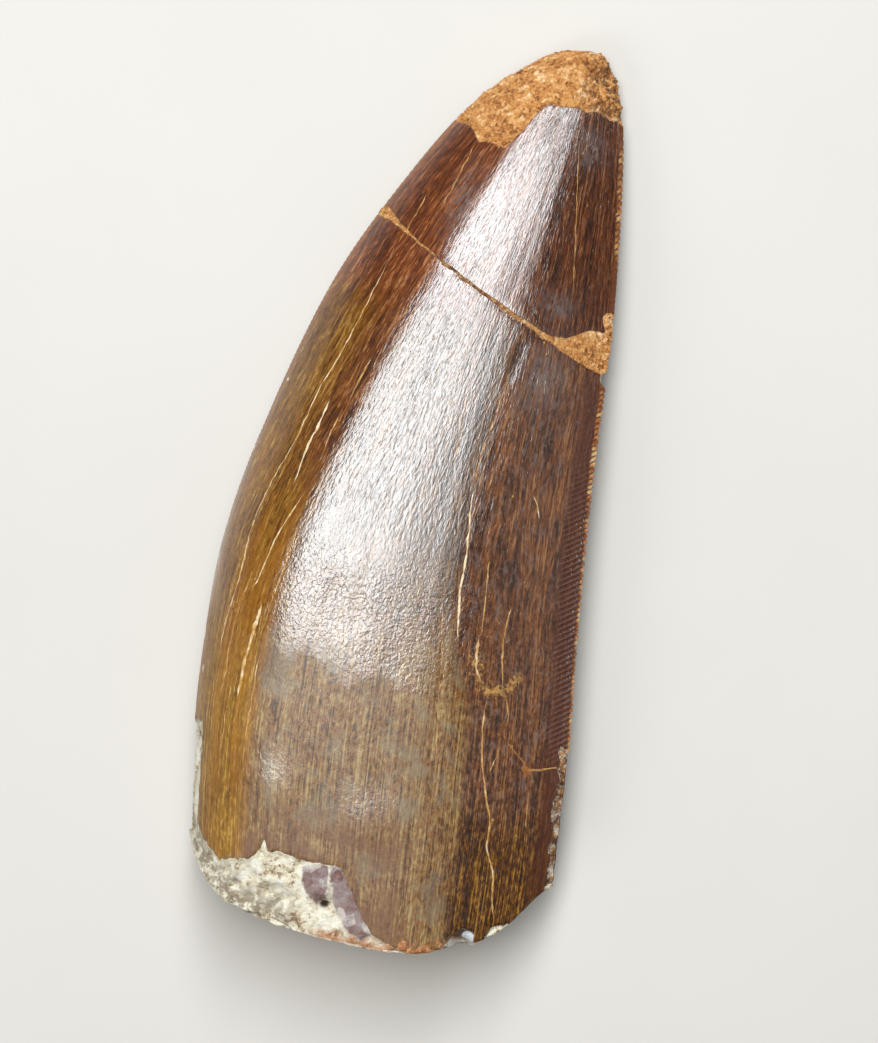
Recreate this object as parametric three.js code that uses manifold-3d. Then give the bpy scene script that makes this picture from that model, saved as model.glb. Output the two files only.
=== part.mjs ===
// A fossil tooth of a large meat-eating dinosaur, lying on its flatter inner face.
// Millimetres, +Z up. Origin on the floor under the middle of the tooth; +Y runs to the tip,
// +X to the saw-edged rear (distal) side and -X to the rounded front (mesial) side.
import * as THREE from "three";
import { mergeVertices } from "three/addons/utils/BufferGeometryUtils.js";
import Module from "manifold-3d";

// Driving sizes of the crown
const CROWN_WIDTH = 41;
const CROWN_LENGTH = 92.4;
const OUTER_RISE = 7.3;
const INNER_DROP = 6.1;
const EDGE_TILT = 1.8;
const FLAT_TRIM = 0.2;

// Mesh fineness
const AROUND = 60;
const ALONG = 46;
const BREAK_ROWS = 6;
const TIP_CROWDING = 0.35;
const CHIP_AROUND = 14;
const CHIP_ALONG = 10;
const WELD = 1e-4;

// Colours seen in the photograph
const ENAMEL_BROWN = 0x7a5030;

const HALF_WIDTH = CROWN_WIDTH / 2;
const HALF_LENGTH = CROWN_LENGTH / 2;

// Front and rear edges in plan, root end to tip, as shares of the half width and half length
const mesialEdge = planCurve([
  [-0.7, -1.02], [-0.828, -0.8], [-0.94, -0.53], [-1.0, -0.22], [-0.93, 0.09], [-0.785, 0.4],
  [-0.56, 0.66], [-0.36, 0.835], [-0.165, 0.935], [-0.035, 0.982], [0.1, 1.0],
]);
const distalEdge = planCurve([
  [1.04, -1.02], [1.005, -0.8], [0.92, -0.53], [0.79, -0.22], [0.675, 0.09], [0.585, 0.4],
  [0.478, 0.66], [0.39, 0.835], [0.305, 0.935], [0.235, 0.98], [0.1, 1.0],
]);

// Heights at the same eleven stations: shares of the rise and of the drop, then millimetres
const outerRise = heightCurve([0.9, 0.98, 1.0, 0.965, 0.885, 0.745, 0.565, 0.4, 0.28, 0.18, 0], OUTER_RISE);
const innerDrop = heightCurve([0.94, 1.0, 1.0, 0.94, 0.83, 0.68, 0.52, 0.4, 0.31, 0.21, 0], INNER_DROP);
const archHeight = heightCurve([0.35, 0, 0.2, 0.75, 1.15, 1.2, 0.8, 0.15, 0.05, 0.45, 1.9], 1);

// Rim of the broken root end, front to rear edge: how far it stands in from the last station
const outerRim = heightCurve([6.8, 3.6, 1.7, 1.2, 1.3, 1.8, 3.4, 5.8, 10.2], 1);
const innerRim = heightCurve([6.8, 5.4, 4.2, 3.4, 2.9, 3.0, 4.4, 6.8, 10.2], 1);

// Outer face in section, front edge to rear edge: a steep front flank up to a shoulder, a nearly flat
// middle and a long rear slope. Each pair is the place across and the share of the rise
const outerSection = new THREE.SplineCurve(
  [
    [-1, 0], [-0.94, 0.27], [-0.8, 0.6], [-0.61, 0.86], [-0.43, 0.96], [-0.2, 0.99],
    [0.08, 1], [0.34, 0.945], [0.58, 0.74], [0.8, 0.42], [0.92, 0.18], [1, 0],
  ].map(([across, share]) => new THREE.Vector2(across, share)),
);

// How far the shoulder is shifted toward the rear edge at each station
const shoulderShift = heightCurve([-0.17, -0.17, -0.16, -0.1, 0.02, 0.15, 0.24, 0.32, 0.32, 0.32, 0.32], 1);
const SHIFT_PEAK = 1.667;

// The inner face has a low swell to each side of a shallow middle hollow
const INNER_FULLNESS = 3.2;
const INNER_BLUNTNESS = 0.9;
const SWELL_AT = 0.52;
const SWELL_SPREAD = 0.22;
const SWELL_RISE = 0.1;
const HOLLOW_SPREAD = 0.3;
const HOLLOW_DEPTH = 0.07;

// Broken root face: a rough wall of dentine round the sunken filling of the pulp hollow
const FILLING_EDGE = 0.37;
const WALL_EDGE = 0.82;
const FILLING_DEPTH = 1.8;
const BREAK_ROUGH = 0.3;
const BREAK_WAVE = 0.8;

// Chips at the root end, along the rear edge and at both ends of the old break: centre and radii
const CHIPS = [
  { at: [-8.6, -45.4, 14.4], radii: [6.8, 5.4, 3.4] },
  { at: [12.8, -46.4, 12.4], radii: [2.6, 3.6, 2.8] },
  { at: [20.7, -26.6, 8.4], radii: [1.7, 2.6, 2.4] },
  { at: [21.7, -31.8, 8.6], radii: [1.7, 2.4, 2.2] },
  { at: [12.9, 15.6, 6.9], radii: [1.1, 1.6, 1.8] },
  { at: [-15.9, 25.2, 4.4], radii: [1.2, 1.5, 1.6] },
];

function planCurve(shares) {
  const points = shares.map(([x, y]) => new THREE.Vector2(x * HALF_WIDTH, y * HALF_LENGTH));
  return new THREE.SplineCurve(points);
}

function heightCurve(shares, full) {
  const points = shares.map((share, station) => new THREE.Vector2(station, share * full));
  return new THREE.SplineCurve(points);
}

// Share of the inner drop at a place across the crown, -1 front edge to +1 rear edge
function innerShape(across) {
  const lens = Math.pow(1 - Math.pow(Math.abs(across), INNER_FULLNESS), INNER_BLUNTNESS);
  const fromSwell = (Math.abs(across) - SWELL_AT) / SWELL_SPREAD;
  const swell = SWELL_RISE * Math.exp(-fromSwell * fromSwell);
  const fromMiddle = across / HOLLOW_SPREAD;
  const hollow = HOLLOW_DEPTH * Math.exp(-fromMiddle * fromMiddle);
  return lens * (1 + swell - hollow);
}

// A point of the crown: angle turns from the front edge over the outer face; share runs root end to tip
function crownPoint(angle, share) {
  const isOuter = angle >= 0 && angle <= Math.PI;
  const onOuter = isOuter ? outerSection.getPoint(angle / Math.PI) : null;
  const place = isOuter ? onOuter.x : -Math.cos(angle);
  const rim = (isOuter ? outerRim : innerRim).getPoint((place + 1) / 2).y / CROWN_LENGTH;
  const station = rim + (1 - rim) * share;
  const shift = isOuter ? shoulderShift.getPoint(station).y / SHIFT_PEAK : 0;
  const across = place + shift * (1 + place) * Math.pow(1 - place, 3);
  const front = mesialEdge.getPoint(station);
  const rear = distalEdge.getPoint(station);
  const plan = front.lerp(rear, (across + 1) / 2);
  const drop = innerDrop.getPoint(station).y;
  const tilt = EDGE_TILT * (drop / INNER_DROP) * Math.pow(across, 5);
  const edgeHeight = archHeight.getPoint(station).y + drop + tilt;
  const rise = isOuter ? outerRise.getPoint(station).y * onOuter.y : -drop * innerShape(across);
  return new THREE.Vector3(plan.x, plan.y, edgeHeight + rise);
}

// A point of the broken root face: share runs from its middle out to the rim
function breakPoint(angle, share) {
  const rim = crownPoint(angle, 0);
  const middle = crownPoint(Math.PI / 2, 0).lerp(crownPoint(Math.PI * 1.5, 0), 0.5);
  const point = middle.lerp(rim, share);
  const sunken = 1 - THREE.MathUtils.smoothstep(share, FILLING_EDGE, WALL_EDGE);
  const rough = Math.sin((point.x + point.z / 2) * BREAK_WAVE) * Math.cos((point.z - point.x / 3) * BREAK_WAVE);
  point.y += FILLING_DEPTH * sunken + BREAK_ROUGH * rough * (1 - Math.pow(share, 4));
  return point;
}

// A closed sheet with a pole at the tip and a pole in the middle of the broken face
function toothSurface() {
  const rows = ALONG + BREAK_ROWS;
  const sheet = new THREE.SphereGeometry(1, AROUND, rows);
  const place = sheet.getAttribute("position");
  const sheetUv = sheet.getAttribute("uv");
  for (let i = 0; i < place.count; i++) {
    const angle = sheetUv.getX(i) * 2 * Math.PI;
    const row = Math.round((1 - sheetUv.getY(i)) * rows);
    const down = row / ALONG;
    const crowded = Math.cos(down * Math.PI / 2) * TIP_CROWDING + (1 - down) * (1 - TIP_CROWDING);
    const point = down <= 1 ? crownPoint(angle, crowded) : breakPoint(angle, (rows - row) / BREAK_ROWS);
    place.setXYZ(i, point.x, point.y, point.z);
  }
  return sheet;
}

const wasm = await Module();
wasm.setup();

function solidFrom(geometry) {
  geometry.deleteAttribute("normal");
  geometry.deleteAttribute("uv");
  const welded = mergeVertices(geometry, WELD);
  return new wasm.Manifold(
    new wasm.Mesh({
      numProp: 3,
      vertProperties: welded.getAttribute("position").array,
      triVerts: new Uint32Array(welded.index.array),
    }),
  );
}

function geometryFrom(solid) {
  const mesh = solid.getMesh();
  const geometry = new THREE.BufferGeometry();
  geometry.setAttribute("position", new THREE.BufferAttribute(mesh.vertProperties, 3));
  geometry.setIndex(new THREE.BufferAttribute(mesh.triVerts, 1));
  geometry.computeVertexNormals();
  return geometry;
}

// A scooped chip, as the blob of stone that broke away
function chipBlob({ at, radii }) {
  const blob = new THREE.SphereGeometry(1, CHIP_AROUND, CHIP_ALONG);
  blob.scale(...radii);
  blob.translate(...at);
  return solidFrom(blob);
}

// The space over the floor, which trims the lowest swells to small resting flats
function spaceOverFloor() {
  const space = new THREE.BoxGeometry(CROWN_WIDTH * 2, CROWN_LENGTH * 2, CROWN_WIDTH);
  space.translate(0, 0, CROWN_WIDTH / 2);
  return solidFrom(space);
}

const surface = toothSurface();
surface.translate(0, 0, -FLAT_TRIM);
let tooth = solidFrom(surface).intersect(spaceOverFloor());
for (const chip of CHIPS) {
  tooth = tooth.subtract(chipBlob(chip));
}

const enamel = new THREE.MeshStandardMaterial({ color: ENAMEL_BROWN, roughness: 0.35 });
const toothMesh = new THREE.Mesh(geometryFrom(tooth), enamel);
toothMesh.name = "tooth";

const fossil = new THREE.Group();
fossil.name = "fossil_tooth";
fossil.add(toothMesh);

export default fossil;
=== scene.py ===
import math
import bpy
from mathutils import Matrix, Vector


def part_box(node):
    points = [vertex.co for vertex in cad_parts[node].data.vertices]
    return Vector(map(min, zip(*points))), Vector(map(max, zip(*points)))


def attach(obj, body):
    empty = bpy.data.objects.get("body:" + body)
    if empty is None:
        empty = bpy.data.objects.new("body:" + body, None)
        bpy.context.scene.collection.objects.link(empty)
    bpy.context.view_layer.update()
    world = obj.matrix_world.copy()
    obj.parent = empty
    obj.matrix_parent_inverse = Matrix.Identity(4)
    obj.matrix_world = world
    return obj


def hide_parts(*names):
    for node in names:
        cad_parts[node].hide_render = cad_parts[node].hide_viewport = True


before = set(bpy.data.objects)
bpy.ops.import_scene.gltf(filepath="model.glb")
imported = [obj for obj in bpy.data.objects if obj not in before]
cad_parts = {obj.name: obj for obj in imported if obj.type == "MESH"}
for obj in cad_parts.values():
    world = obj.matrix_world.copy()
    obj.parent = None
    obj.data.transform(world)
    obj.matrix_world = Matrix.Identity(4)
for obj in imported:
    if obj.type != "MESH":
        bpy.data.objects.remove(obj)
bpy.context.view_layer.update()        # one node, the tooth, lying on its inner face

from types import SimpleNamespace

import bmesh
import bpy
import numpy as np
from mathutils import Matrix, noise

toothLow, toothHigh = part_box("tooth")
mm = 0.001

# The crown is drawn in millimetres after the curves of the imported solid, root end to tip
crown = {
    "halfWidth": -toothLow.x / mm,
    "halfLength": toothHigh.y / mm,
    "outerRise": 7.3,
    "innerDrop": 6.1,
    "edgeTilt": 1.8,
    "flatTrim": 0.2,           # how much of the inner swells is worn to resting flats
    "mesialEdge": [(-0.7, -1.02), (-0.828, -0.8), (-0.94, -0.53), (-1.0, -0.22), (-0.93, 0.09), (-0.785, 0.4),
                   (-0.56, 0.66), (-0.36, 0.835), (-0.165, 0.935), (-0.035, 0.982), (0.1, 1.0)],
    "distalEdge": [(1.04, -1.02), (1.005, -0.8), (0.92, -0.53), (0.79, -0.22), (0.675, 0.09), (0.585, 0.4),
                   (0.478, 0.66), (0.39, 0.835), (0.305, 0.935), (0.235, 0.98), (0.1, 1.0)],
    "riseShares": [0.9, 0.98, 1.0, 0.965, 0.885, 0.745, 0.565, 0.4, 0.28, 0.18, 0],
    "dropShares": [0.94, 1.0, 1.0, 0.94, 0.83, 0.68, 0.52, 0.4, 0.31, 0.21, 0],
    "archHeight": [0.35, 0, 0.2, 0.75, 1.15, 1.2, 0.8, 0.15, 0.05, 0.45, 1.9],
    "outerRim": [6.8, 3.6, 1.7, 1.2, 1.3, 1.8, 3.4, 5.8, 10.2],
    "innerRim": [6.8, 5.4, 4.2, 3.4, 2.9, 3.0, 4.4, 6.8, 10.2],
    "section": [(-1, 0), (-0.94, 0.27), (-0.8, 0.6), (-0.61, 0.86), (-0.46, 0.955), (-0.2, 0.99),
                (0.08, 1), (0.34, 0.945), (0.58, 0.74), (0.8, 0.42), (0.92, 0.18), (1, 0)],
    "shoulderShift": [-0.17, -0.17, -0.16, -0.1, 0.02, 0.15, 0.24, 0.32, 0.32, 0.32, 0.32],
    "shiftPeak": 1.667,
    "fillingDepth": 1.8,       # the pulp filling lies this far inside the broken root face
    "innerFullness": 3.2,
    "innerBluntness": 0.9,
    "swell": (0.52, 0.22, 0.1),        # place across, spread and rise of the two inner swells
    "hollow": (0.3, 0.07),             # spread and depth of the hollow between them
    "edgeSteps": 2000,
}


def curveThrough(points):
    knots = np.array(points, float).reshape(len(points), -1)
    last = len(knots) - 1

    def at(share):
        spot = np.clip(share, 0, 1) * last
        step = np.minimum(spot.astype(int), last - 1)
        part = (spot - step)[:, None]
        start, end = knots[step], knots[step + 1]
        leave = (end - knots[np.maximum(step - 1, 0)]) / 2
        arrive = (knots[np.minimum(step + 2, last)] - start) / 2
        value = (2 * start - 2 * end + leave + arrive) * part ** 3
        value += (3 * end - 3 * start - 2 * leave - arrive) * part ** 2 + leave * part + start
        return value if knots.shape[1] > 1 else value[:, 0]

    return at


planScale = np.array([crown["halfWidth"], crown["halfLength"]])
mesialEdge = curveThrough(np.array(crown["mesialEdge"]) * planScale)
distalEdge = curveThrough(np.array(crown["distalEdge"]) * planScale)
outerRise = curveThrough(np.array(crown["riseShares"]) * crown["outerRise"])
innerDrop = curveThrough(np.array(crown["dropShares"]) * crown["innerDrop"])
archHeight = curveThrough(crown["archHeight"])
outerRim = curveThrough(crown["outerRim"])
innerRim = curveThrough(crown["innerRim"])
outerSection = curveThrough(crown["section"])
shoulderShift = curveThrough(crown["shoulderShift"])


def evenStation(along):        # rows stand an even step apart along the two edges
    fine = np.linspace(0, 1, crown["edgeSteps"])
    steps = sum(np.hypot(*np.diff(edge(fine), axis=0).T) for edge in (mesialEdge, distalEdge))
    run = np.concatenate([[0], np.cumsum(steps)])
    return np.interp(along, run / run[-1], fine)


def innerShape(across):        # a low swell to each side of a shallow middle hollow
    swellAt, swellSpread, swellRise = crown["swell"]
    hollowSpread, hollowDepth = crown["hollow"]
    lens = (1 - np.abs(across) ** crown["innerFullness"]).clip(0) ** crown["innerBluntness"]
    swell = swellRise * np.exp(-((np.abs(across) - swellAt) / swellSpread) ** 2)
    hollow = hollowDepth * np.exp(-(across / hollowSpread) ** 2)
    return lens * (1 + swell - hollow)


def crownPoints(around, along):        # around 0 to 1 over the outer face, 1 to 2 back under the inner one
    outer = around <= 1
    turn = np.where(outer, around, 2 - around)
    section = outerSection(turn)
    inner = turn - 0.5 - 0.5 * np.cos(np.pi * turn)
    place = np.where(outer, section[:, 0], inner)
    rim = np.where(outer, outerRim((place + 1) / 2), innerRim((place + 1) / 2)) / (2 * crown["halfLength"])
    station = rim + (1 - rim) * evenStation(along)
    shift = np.where(outer, shoulderShift(station) / crown["shiftPeak"], 0)
    across = place + shift * (1 + place) * (1 - place) ** 3
    front, rear = mesialEdge(station), distalEdge(station)
    plan = front + (rear - front) * (across[:, None] + 1) / 2
    drop = innerDrop(station)
    edgeHeight = archHeight(station) + drop + crown["edgeTilt"] * drop / crown["innerDrop"] * across ** 5
    height = np.where(outer, outerRise(station) * section[:, 1], -drop * innerShape(across))
    points = np.column_stack([plan, edgeHeight + height - crown["flatTrim"]])
    width = np.hypot(*(rear - front).T)
    return points, place, across, width


def smooth(low, high, value):
    share = np.clip((value - low) / (high - low), 0, 1)
    return share * share * (3 - 2 * share)


def grain(points, scale, seed=0):
    return np.array([noise.noise((x, y, z + seed)) for x, y, z in points * scale])


pebbleContrast = 1.6


def pebbles(points, scale, seed=0):        # 1 on the middle of a grain, 0 between grains
    gaps = np.array([noise.voronoi((x, y, z + seed))[0][:2] for x, y, z in points * scale])
    return np.clip((gaps[:, 1] - gaps[:, 0]) * pebbleContrast, 0, 1)


# A flat sheet is refined where the tooth has fine detail, then wrapped round it
sheet = {
    "columns": 136,
    "rows": 162,
    "breakRows": 12,
    "edgeFine": 0.06,          # share of a face beside the saw edges
    "ridgeFine": 0.15,         # share of the outer face that the saw ridges reach
    "crustFine": 0.905,        # rows past this lie under the sandy tip
    "rootFine": 0.03,
    "tipClear": 0.985,         # rows past this close up round the tip and stay coarse
    "weld": 0.004,
    "tiny": 1e-6,              # places on the sheet closer than this are level
    "near": 1e-4,
}


def refine(bm, crosswise, lengthwise):
    edges = []
    for edge in bm.edges:
        a, b = (v.co for v in edge.verts)
        level, upright = abs(a.y - b.y) < sheet["tiny"], abs(a.x - b.x) < sheet["tiny"]
        wanted = crosswise if level else lengthwise if upright else None
        if wanted and wanted(a.x, a.y) and wanted(b.x, b.y):
            edges.append(edge)
    bmesh.ops.subdivide_edges(bm, edges=edges, cuts=1, use_grid_fill=True)


def toothSheet():
    bm = bmesh.new()
    strip = sheet["breakRows"] / sheet["rows"]
    stretch = Matrix.Translation((1, (1 - strip) / 2, 0)) @ Matrix.Diagonal((1, (1 + strip) / 2, 1, 1))
    bmesh.ops.create_grid(bm, x_segments=sheet["columns"], y_segments=sheet["rows"] + sheet["breakRows"],
                          size=1, matrix=stretch)
    near, fine, ridge = sheet["near"], sheet["edgeFine"], sheet["ridgeFine"]
    top, crustFrom, rootTo = sheet["tipClear"], sheet["crustFine"], sheet["rootFine"]

    def outerFace(x):
        return x <= 1 + near

    def sawBands(x):
        return x <= 1 + fine or x >= 2 - fine

    refine(bm, lambda x, y: y <= top and (outerFace(x) or y <= near),
           lambda x, y: y <= top and (sawBands(x) or y <= near))
    for low, high in ((crustFrom, top), (-near, rootTo)):
        refine(bm, lambda x, y: low <= y <= high and outerFace(x),
               lambda x, y: low <= y <= high and sawBands(x))
    refine(bm, None, lambda x, y: rootTo <= y <= crustFrom and sawBands(x) and (x <= fine or x >= 1 - ridge))
    refine(bm, None, lambda x, y: rootTo <= y <= crustFrom and 1 - fine <= x <= 1 + fine)
    return bm


# Marks on the tooth, in millimetres across and along it
marks = {
    "breakLine": (18.6, -0.385, 0.0065),       # the old break, as a bend across the crown
    "breakPlaces": [-14, -12.5, -10, -4, 2, 6, 7.5, 9, 11, 12.5],
    "fillBelow": [0.6, 0.25, 0.12, 0.13, 0.17, 0.26, 0.3, 0.3, 0.35, 0.4],
    "fillAbove": [1.2, 0.5, 0.1, 0.11, 0.17, 0.36, 0.9, 2.2, 4.2, 5.8],
    "grooveDepth": [0.05, 0.06, 0.1, 0.22, 0.22, 0.18, 0.14, 0.1, 0.08, 0.08],
    "fillSandy": [1, 0.9, 0.75, 0.2, 0.45, 0.8, 0.9, 1, 1, 1],
    "breakSlant": 0.93,        # turns a distance along the crown into one square to the slanting break
    "fillUnder": 0.22,
    "fillStir": (0.2, 0.3),    # least raggedness of the filling, then more where it is wide
    "fillRagged": [(0.5, 0.55, 77)],
    "frontStrip": (0.3, -29, 1.1),     # slope, start and width of the worn front edge
    "rearStrip": (-22.6, -40, 0.9),    # start, end and width of the worn rear edge
    "crustEdge": [(-12, 36.2), (-8.9, 36), (-7.1, 35.6), (-5.9, 34.2), (-3.3, 34.2), (-2.2, 35.9),
                  (-0.5, 39.3), (1.9, 39.9), (5.7, 40.1), (7.3, 39.8), (9, 39.5)],
    "enamelEdge": [(-20, -34), (-16.8, -37.1), (-14.5, -40.1), (-12.3, -41.5), (-9.5, -40.6), (-8.7, -39.6),
                   (-8.4, -38), (-8.0, -39.4), (-6.8, -39), (-4.6, -39.4), (-1.6, -39.0), (-0.5, -38.9),
                   (1.0, -40.9), (2.9, -43.3), (4.2, -44.6), (6, -45.3), (9.4, -45.6), (11, -44.4),
                   (14.6, -44.2), (15.4, -41.2), (18, -40), (20, -37)],
    "crustUnder": [(-12, 36.5), (-8, 37.5), (-4, 38.8), (0, 38.2), (4, 40.2), (8, 39.4), (12, 39)],
    "enamelUnder": [(-20, -35), (-14, -39.5), (-9, -40.5), (-3, -42), (4, -42.5), (10, -41), (16, -38),
                    (21, -33.5)],
    "plates": [[(-4.4, -39.8), (-1.8, -39.0), (-0.9, -42.4), (-1.9, -43.2), (-3.8, -41.6)],
               [(-1.5, -39.1), (-0.3, -38.4), (3.5, -42.9), (4.8, -44.2), (3.1, -45.6), (1.3, -44.7),
                (-0.4, -42.6)]],       # smooth slips of stone
    "shadowedFlake": [(2.9, 15.4), (4.2, 15.7), (3.9, 13.4), (3.4, 11.0), (2.8, 11.2)],        # enamel flaked off; its dark tone is a painted shadow along the step
    "web": [(6.9, -15.6), (7.9, -17.8), (9.2, -18.5), (10.6, -18.1), (11.5, -16.6)],     # stained yellow
    "scar": [(14.0, -24.5), (15.3, -25.1), (14.8, -26.3)],
    "notch": (12.3, -42.8, 1.2),
    "pores": [(-1.2, -43.0, 0.6, 1.5), (-9.8, -43.2, 0.3, 0.5), (-6.2, -41.2, 0.25, 0.4),
              (-12, -42.6, 0.3, 0.4), (5.2, 43.2, 0.3, 0.5), (6.6, 41.6, 0.25, 0.5), (3.4, 44.4, 0.28, 0.4),
              (7.2, 42.6, 0.2, 0.4)],          # place, reach and depth
    "dents": [(-6.9, -14.0, 2.2, 0.05), (-8.2, -12.6, 1.2, 0.03), (-5.2, -15, 1.3, 0.03),
              (-9.4, -33.6, 2.6, -0.15), (1.0, -34.2, 2.6, -0.15)],        # these two are low swells
    "quartz": (13.5, -42.9, 0.75),
    # soft patches of painted sheen, which also carry more coat, and glossy swells: place, then reach across
    # and along
    "films": [(4.8, 36.3, 1.8, 2.0), (5.9, 20.0, 1.7, 1.3), (6.2, 12.6, 2.2, 3.4), (-5.9, 27.3, 1.2, 3.6)],
    "swells": [(-10.0, -31.8, 2.2, 2.6), (0.8, -32.0, 3.2, 2.2)],
}

# Cracks down the enamel: half the width each shows, its tone (0 dark, 0.4 rusty, 0.7 tan, 1 pale), then its
# route from the tip side to the root side
outerCracks = [
    (0.05, 0.85, [(-11.3, 21.4), (-12.6, 14.8), (-13.7, 9.8), (-14.9, 5.5), (-15.7, 0.7), (-16.9, -3.8),
                  (-17.7, -8.5), (-17.6, -13.9), (-17.8, -19.3), (-17.5, -22.1)]),
    (0.09, 1.0, [(-13.5, 5.1), (-13.9, 2.6), (-14.4, 0.2), (-14.7, -3.7)]),
    (0.05, 0.7, [(-10.6, 10.0), (-11.1, 8.1), (-11.6, 5.7)]),
    (0.05, 0.8, [(-12.2, 3.7), (-12.5, 2.3), (-12.7, 0.5)]),
    (0.06, 0.9, [(-13.4, -4.2), (-14.4, -7.2), (-15.1, -9.6), (-15.6, -13.3), (-16.0, -14.6)]),
    (0.06, 0.65, [(-16.3, -12.4), (-16.8, -16.6), (-16.8, -20.8), (-16.5, -23.2), (-16.4, -26)]),
    (0.16, 0.8, [(-14.7, -16.1), (-14.8, -18.3), (-14.8, -19.9), (-14.9, -21.9), (-14.7, -25.3)]),
    (0.05, 0.7, [(-13.6, -21.2), (-13.1, -26.4), (-12.9, -29.1)]),
    (0.05, 0.65, [(-12.9, -8.6), (-13.6, -13), (-14.0, -19)]),
    (0.05, 0.65, [(-15.6, -24), (-15.2, -29), (-14.4, -34)]),
    (0.06, 0.65, [(-6.3, 33.6), (-7.2, 29.1), (-7.9, 26.5)]),
    (0.05, 0.55, [(-9.6, 27.5), (-10.6, 23.6), (-11.1, 22.2)]),
    (0.07, 0.5, [(2.8, 14.2), (2.9, 11.2), (2.7, 7.6), (2.4, 4.7), (2.4, 2.0), (2.5, -0.2)]),
    (0.1, 0.95, [(2.5, 0.4), (2.7, -1.6), (3.1, -3.7), (3.6, -7.1), (3.8, -9.6), (4.2, -11.7), (4.8, -14.3)]),
    (0.05, 0.45, [(-0.9, 13.0), (-0.5, 8.4), (-0.2, 5.1), (0.0, 1.0)]),
    (0.05, 0.0, [(-3.5, 11.7), (-3.8, 9.1), (-4.0, 5.7), (-4.2, 3.2)]),
    (0.05, 0.0, [(-3.3, -2.6), (-3.3, -4.4), (-3.1, -6.2)]),
    (0.06, 0.7, [(5.8, -6.1), (6.4, -9.7), (6.9, -13.2)]),
    (0.13, 0.8, [(6.8, -14.0), (7.0, -15.3), (7.3, -16.6), (8.0, -17.7)]),
    (0.08, 0.72, [(9.1, -18.8), (9.3, -21.4), (10.2, -25.2), (11.4, -28.3), (12.5, -30.9), (12.9, -33.5),
                  (14.2, -36.0), (14.9, -38.8), (15.4, -40.1)]),
    (0.05, 0.7, [(11.6, -23.9), (11.4, -25.2), (11.3, -26.4)]),
    (0.08, 0.65, [(9.1, -10.0), (9.1, -12.0), (9.3, -13.8), (9.7, -15.7), (10.4, -18.2)]),
    (0.07, 0.5, [(10.7, -18.6), (11.4, -19.8), (11.7, -21.4), (11.7, -22.4), (12.7, -23.4), (14.4, -24.6),
                 (15.0, -25.2)]),
    (0.09, 0.6, [(14.8, -25.2), (16.3, -24.8), (17.9, -24.2)]),
    (0.06, 0.6, [(15.5, -27.0), (15.8, -28.8), (16.2, -30.9)]),
    (0.06, 0.55, [(2.7, -11.7), (3.0, -13.6), (3.9, -17.0), (4.4, -18.3), (4.4, -19.8), (5.1, -23.2),
                  (6.3, -28.7)]),
    (0.05, 0.1, [(12.1, -3.8), (12.6, -5.8), (13.0, -7.7)]),
    (0.05, 0.9, [(8.5, 1.1), (9.1, 0.2), (9.5, -0.8)]),
    (0.12, 0.0, [(2.5, 19.8), (4.0, 18.3), (4.9, 17.4)]),
    (0.04, 0.7, [(3.9, 36), (4.7, 32.3), (5.7, 27.8), (6.9, 22.2)]),
    (0.07, 0.0, [(6.0, 16.2), (4.3, 16.3), (3.2, 15.5), (2.9, 13.5), (2.9, 11.2)]),
]
innerCracks = [        # the hidden face is finished in the same way
    (0.07, 0.8, [(-6, 24), (-7.5, 14), (-8.2, 3), (-9.6, -8), (-10.1, -19), (-9.2, -30)]),
    (0.06, 0.6, [(-2, 12), (-2.6, 2), (-3.8, -9), (-3.6, -18)]),
    (0.08, 0.7, [(6.5, 13), (7.2, 4), (8.4, -6), (8.8, -15), (10.6, -24), (11.2, -34)]),
    (0.06, 0.5, [(8.8, -15), (11.2, -17), (13.8, -16.4)]),
    (0.05, 0.9, [(2.2, -4), (2.9, -14), (2.5, -24), (3.4, -35)]),
    (0.06, 0.7, [(-14, 4), (-15.5, -6), (-16.4, -16), (-16.2, -25)]),
]

# Lumps of stone that broke away: middle, reach and the way the surface is pushed back
chips = [
    ((-8.6, -45.4, 14.4), (6.8, 5.4, 3.4), (0, 0.35, -1)),
    ((12.8, -46.4, 12.4), (2.6, 3.6, 2.8), (0, 1, -0.4)),
    ((13.1, -43.6, 11.8), (1.7, 1.8, 2.2), (0, 0.3, -1)),
    ((20.7, -26.6, 8.4), (1.7, 2.6, 2.4), (-1, 0, 0)),
    ((21.7, -31.8, 8.6), (1.7, 2.4, 2.2), (-1, 0, 0)),
    ((13.0, 14.3, 6.9), (1.1, 0.9, 1.8), (-1, 0, 0)),
    ((-15.9, 25.2, 4.4), (1.2, 1.5, 1.6), (1, 0, 0)),
]


farAway = 9.0        # a distance well clear of any mark
crackShape = {
    "stepsPerPoint": 8,
    "margin": 1,               # only points this near a crack are measured
    "plainTone": 0.6,
    "endFade": 9,              # a crack thins out over its first and last ninth
    "thinnest": 0.12,
    "showFull": 1.7,
    "showReach": 0.3,
}


def bendLine(x):
    a, b, c = marks["breakLine"]
    return a + b * x + c * x * x


def edgeAt(name, x):        # an edge across the face, drawn through listed points
    spots = np.array(marks[name])
    return np.interp(x, spots[:, 0], spots[:, 1])


def insideOf(corners, x, y):        # how far inside a flat patch, its corners given round it
    ring = np.array(corners)
    turn = np.sign(np.cross(ring[1] - ring[0], ring[2] - ring[1]))
    depth = np.full(len(x), farAway)
    for a, b in zip(ring, np.roll(ring, -1, axis=0)):
        run = (b - a) / np.hypot(*(b - a))
        depth = np.minimum(depth, turn * (run[0] * (y - a[1]) - run[1] * (x - a[0])))
    return depth


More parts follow.
